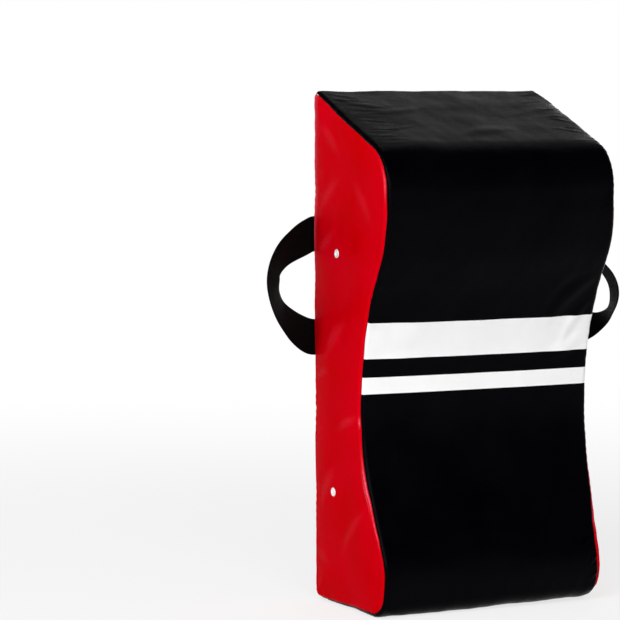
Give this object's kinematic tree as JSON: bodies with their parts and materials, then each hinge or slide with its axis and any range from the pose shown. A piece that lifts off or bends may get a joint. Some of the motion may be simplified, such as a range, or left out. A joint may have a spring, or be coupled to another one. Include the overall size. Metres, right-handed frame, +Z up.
{
  "type": "rugby hit shield",
  "caption": "Contoured foam tackle shield in a black and red sewn cover, with webbing hand loops at its sides, vent eyelets and a taped flap on the back",
  "frame": {"origin": "middle of the flat foot, on the floor the shield stands on", "axes": "X across the width, the padded face looks along -Y and the flat back along +Y, Z up to the thin top edge"},
  "size_m": [0.469, 0.182, 0.5974],
  "materials": {
    "core_foam": "open foam, off-white",
    "layer_foam": "closed foam, grey",
    "black_sheet": "glossy coated cover sheet, black",
    "red_sheet": "semi-gloss coated cover sheet, red",
    "webbing": "woven, black",
    "tape": "hook and loop pile, black",
    "eyelet_metal": "bright nickel"
  },
  "bodies": {
    "root": {"foam_core": "core_foam", "foam_back_slab": "layer_foam", "foam_face_pad": "layer_foam", "front_panel": "black_sheet", "back_panel": "black_sheet", "back_foot_panel": "black_sheet", "side_panel_left": "red_sheet", "side_panel_right": "red_sheet", "flap_seam_strip": "black_sheet", "loop_tape": "tape", "strap_run_upper": "webbing", "strap_run_lower": "webbing", "backing_patch_left": "black_sheet", "strap_patch_upper_left": "black_sheet", "eyelet_upper_left": "eyelet_metal", "eyelet_washer_upper_left": "eyelet_metal", "strap_patch_lower_left": "black_sheet", "eyelet_lower_left": "eyelet_metal", "eyelet_washer_lower_left": "eyelet_metal", "backing_patch_right": "black_sheet", "strap_patch_upper_right": "black_sheet", "eyelet_upper_right": "eyelet_metal", "eyelet_washer_upper_right": "eyelet_metal", "strap_patch_lower_right": "black_sheet", "eyelet_lower_right": "eyelet_metal", "eyelet_washer_lower_right": "eyelet_metal"},
    "strap_left": {"strap_loop_left": "webbing"},
    "strap_right": {"strap_loop_right": "webbing"},
    "flap": {"closure_flap": "black_sheet", "hook_tape": "tape"}
  },
  "joints": [
    {"name": "strap_left_swing", "type": "hinge", "parent": "root", "child": "strap_left", "pos_m": [-0.1545, 0.0815, 0.37], "axis": [0, 0, -1], "range_deg": [-25, 105]},
    {"name": "strap_right_swing", "type": "hinge", "parent": "root", "child": "strap_right", "pos_m": [0.1545, 0.0815, 0.37], "axis": [0, 0, 1], "range_deg": [-25, 105]},
    {"name": "flap_lift", "type": "hinge", "parent": "root", "child": "flap", "pos_m": [0, 0.084, 0.1], "axis": [1, 0, 0], "range_deg": [0, 160]}
  ]
}
